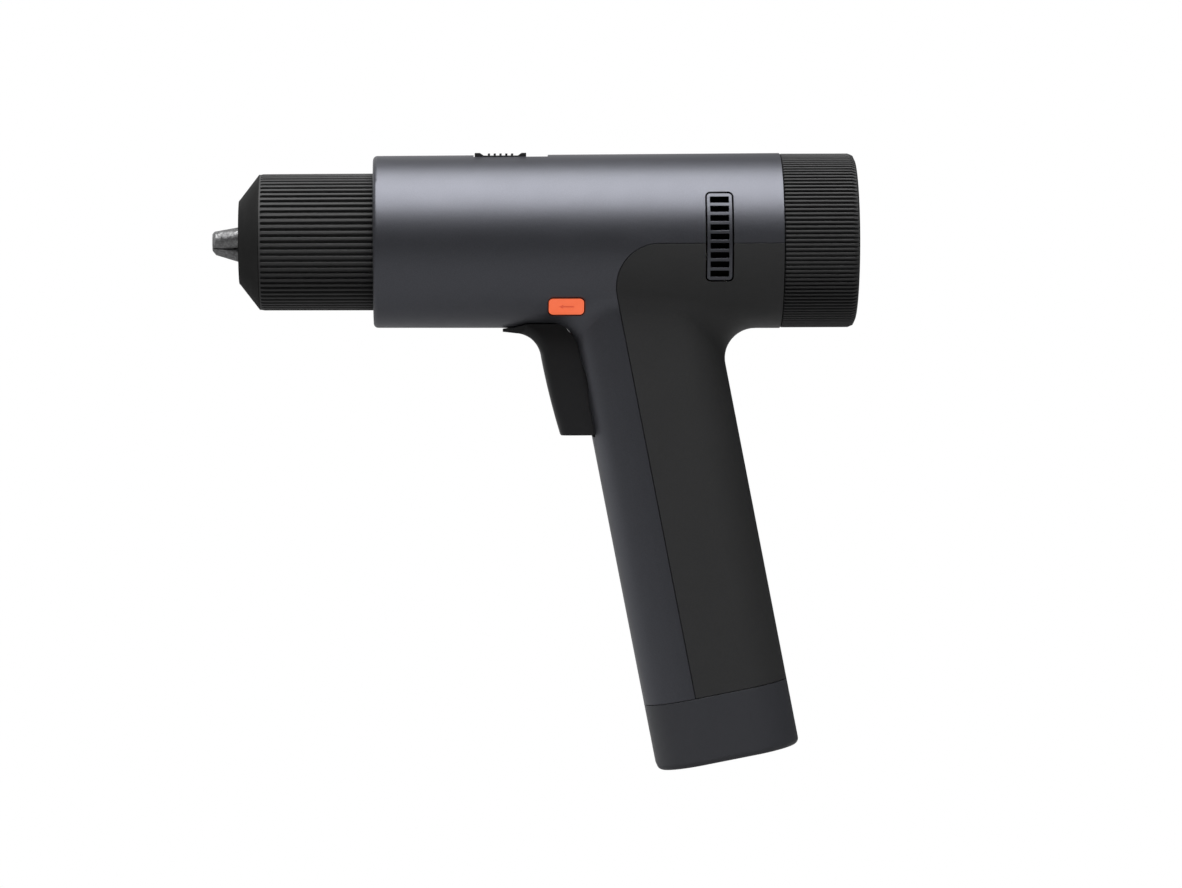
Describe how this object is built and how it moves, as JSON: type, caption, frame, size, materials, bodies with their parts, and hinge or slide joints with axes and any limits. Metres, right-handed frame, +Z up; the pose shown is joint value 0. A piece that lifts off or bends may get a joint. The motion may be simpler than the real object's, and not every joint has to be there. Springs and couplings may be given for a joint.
{
  "type": "cordless drill driver",
  "caption": "Cordless pistol-grip drill driver with a keyless three-jaw chuck, ribbed rear knob, sliding gear selector, push button and battery handle.",
  "frame": {"origin": "on the spindle axis, in the plane of the jaw tips", "axes": "+X along the spindle axis from the jaw tips to the rear knob, +Z up, +Y towards the right side of the tool"},
  "size_m": [0.1999, 0.0546, 0.1923],
  "materials": {
    "shell": "satin",
    "shell_dark": "satin",
    "base": "satin",
    "ribbed": "satin",
    "grille": "matte",
    "trigger": "matte",
    "accent": "satin",
    "rubber": "matte",
    "jaw_steel": "ground",
    "steel": "machined",
    "screw_steel": "black oxide",
    "gear_steel": "sintered",
    "aluminium": "die cast",
    "gear_plastic": "moulded",
    "iron": "laminated",
    "copper": "enamelled wire",
    "board": "solder mask",
    "cell": "sleeved",
    "holder": "moulded",
    "screen": "polished",
    "display": "matte"
  },
  "bodies": {
    "housing": {"left_housing": "shell", "right_housing": "shell", "rear_grip_cover": "shell_dark", "left_vent_grille": "shell", "right_vent_grille": "shell", "base_cap": "base", "foot_pad": "rubber", "charge_port": "steel", "housing_screws": "screw_steel", "base_screws": "screw_steel", "battery_cells": "cell", "cell_holder": "holder", "battery_board": "board", "gear_case": "aluminium", "ring_gear_fixed": "gear_steel", "spindle_bearing_outer": "steel", "spindle_bearing_balls": "steel", "motor_front_plate": "aluminium", "motor_rear_bracket": "gear_plastic", "stator_core": "iron", "stator_windings": "copper", "motor_bearings_outer": "steel", "motor_bearing_balls": "steel", "knob_hub": "holder", "knob_retainer": "trigger", "driver_board": "board", "encoder_board": "board", "display_backing": "holder", "display_module": "display", "display_window": "screen", "trigger_spring": "steel", "switch_module": "holder"},
    "spindle": {"spindle": "steel", "spindle_bearing_inner": "steel", "chuck_body": "steel", "chuck_screw": "screw_steel"},
    "chuck_sleeve": {"chuck_sleeve": "ribbed", "chuck_nut": "gear_steel"},
    "jaw_1": {"jaw_1": "jaw_steel"},
    "jaw_2": {"jaw_2": "jaw_steel"},
    "jaw_3": {"jaw_3": "jaw_steel"},
    "stage_1_carrier": {"stage_1_carrier": "gear_steel"},
    "rotor": {"rotor": "iron", "motor_shaft": "steel", "motor_pinion": "gear_steel", "cooling_fan": "gear_plastic", "motor_bearings_inner": "steel"},
    "trigger": {"trigger": "trigger", "trigger_plunger": "holder"},
    "direction_button": {"direction_button": "accent"},
    "gear_selector": {"gear_selector": "trigger", "shift_fork": "steel", "ring_gear_sliding": "gear_steel"},
    "mode_knob": {"mode_knob": "ribbed"},
    "stage_1_planet_1": {"stage_1_planet_1": "gear_steel"},
    "stage_2_planet_1": {"stage_2_planet_1": "gear_steel"},
    "stage_1_planet_2": {"stage_1_planet_2": "gear_steel"},
    "stage_2_planet_2": {"stage_2_planet_2": "gear_steel"},
    "stage_1_planet_3": {"stage_1_planet_3": "gear_steel"},
    "stage_2_planet_3": {"stage_2_planet_3": "gear_steel"}
  },
  "joints": [
    {"name": "spindle_spin", "type": "hinge", "parent": "housing", "child": "spindle", "pos_m": [0.05, 0, 0], "axis": [1, 0, 0], "continuous": true},
    {"name": "chuck_sleeve_turn", "type": "hinge", "parent": "spindle", "child": "chuck_sleeve", "pos_m": [0.03, 0, 0], "axis": [1, 0, 0], "range_deg": [0, 1800]},
    {"name": "jaw_1_slide", "type": "slide", "parent": "spindle", "child": "jaw_1", "axis": [0.9553, 0.2392, 0.1738], "range_m": [0, 0.0144]},
    {"name": "jaw_2_slide", "type": "slide", "parent": "spindle", "child": "jaw_2", "axis": [0.9553, -0.2701, 0.1203], "range_m": [0, 0.0144]},
    {"name": "jaw_3_slide", "type": "slide", "parent": "spindle", "child": "jaw_3", "axis": [0.9553, 0.0309, -0.2941], "range_m": [0, 0.0144]},
    {"name": "carrier_1_spin", "type": "hinge", "parent": "housing", "child": "stage_1_carrier", "pos_m": [0.08, 0, 0], "axis": [1, 0, 0], "continuous": true},
    {"name": "stage_2_planet_1_spin", "type": "hinge", "parent": "spindle", "child": "stage_2_planet_1", "pos_m": [0.0745, 0, 0.0108], "axis": [1, 0, 0], "continuous": true},
    {"name": "stage_1_planet_1_spin", "type": "hinge", "parent": "stage_1_carrier", "child": "stage_1_planet_1", "pos_m": [0.087, 0, 0.0108], "axis": [1, 0, 0], "continuous": true},
    {"name": "stage_2_planet_2_spin", "type": "hinge", "parent": "spindle", "child": "stage_2_planet_2", "pos_m": [0.0745, -0.00935, -0.0054], "axis": [1, 0, 0], "continuous": true},
    {"name": "stage_1_planet_2_spin", "type": "hinge", "parent": "stage_1_carrier", "child": "stage_1_planet_2", "pos_m": [0.087, -0.00935, -0.0054], "axis": [1, 0, 0], "continuous": true},
    {"name": "stage_2_planet_3_spin", "type": "hinge", "parent": "spindle", "child": "stage_2_planet_3", "pos_m": [0.0745, 0.00935, -0.0054], "axis": [1, 0, 0], "continuous": true},
    {"name": "stage_1_planet_3_spin", "type": "hinge", "parent": "stage_1_carrier", "child": "stage_1_planet_3", "pos_m": [0.087, 0.00935, -0.0054], "axis": [1, 0, 0], "continuous": true},
    {"name": "rotor_spin", "type": "hinge", "parent": "housing", "child": "rotor", "pos_m": [0.128, 0, 0], "axis": [1, 0, 0], "continuous": true},
    {"name": "trigger_pull", "type": "slide", "parent": "housing", "child": "trigger", "axis": [1, 0, 0], "range_m": [0, 0.006], "stiffness_N_per_m": 700, "springref_m": -0.003, "deforming": ["trigger_spring"]},
    {"name": "direction_button_push", "type": "slide", "parent": "housing", "child": "direction_button", "axis": [0, 1, 0], "range_m": [-0.0025, 0.0025]},
    {"name": "gear_selector_slide", "type": "slide", "parent": "housing", "child": "gear_selector", "axis": [1, 0, 0], "range_m": [0, 0.006]},
    {"name": "mode_knob_turn", "type": "hinge", "parent": "housing", "child": "mode_knob", "pos_m": [0.188, 0, 0], "axis": [1, 0, 0], "continuous": true}
  ],
  "couplings": [
    {"joint": "jaw_1_slide", "follows": "chuck_sleeve_turn", "m_per_rad": 0.00045836},
    {"joint": "jaw_2_slide", "follows": "chuck_sleeve_turn", "m_per_rad": 0.00045836},
    {"joint": "jaw_3_slide", "follows": "chuck_sleeve_turn", "m_per_rad": 0.00045836},
    {"joint": "carrier_1_spin", "follows": "spindle_spin", "ratio": 4.5},
    {"joint": "stage_2_planet_1_spin", "follows": "spindle_spin", "ratio": -2.8},
    {"joint": "stage_1_planet_1_spin", "follows": "spindle_spin", "ratio": -12.6},
    {"joint": "stage_2_planet_2_spin", "follows": "spindle_spin", "ratio": -2.8},
    {"joint": "stage_1_planet_2_spin", "follows": "spindle_spin", "ratio": -12.6},
    {"joint": "stage_2_planet_3_spin", "follows": "spindle_spin", "ratio": -2.8},
    {"joint": "stage_1_planet_3_spin", "follows": "spindle_spin", "ratio": -12.6},
    {"joint": "rotor_spin", "follows": "spindle_spin", "ratio": 20.25}
  ]
}
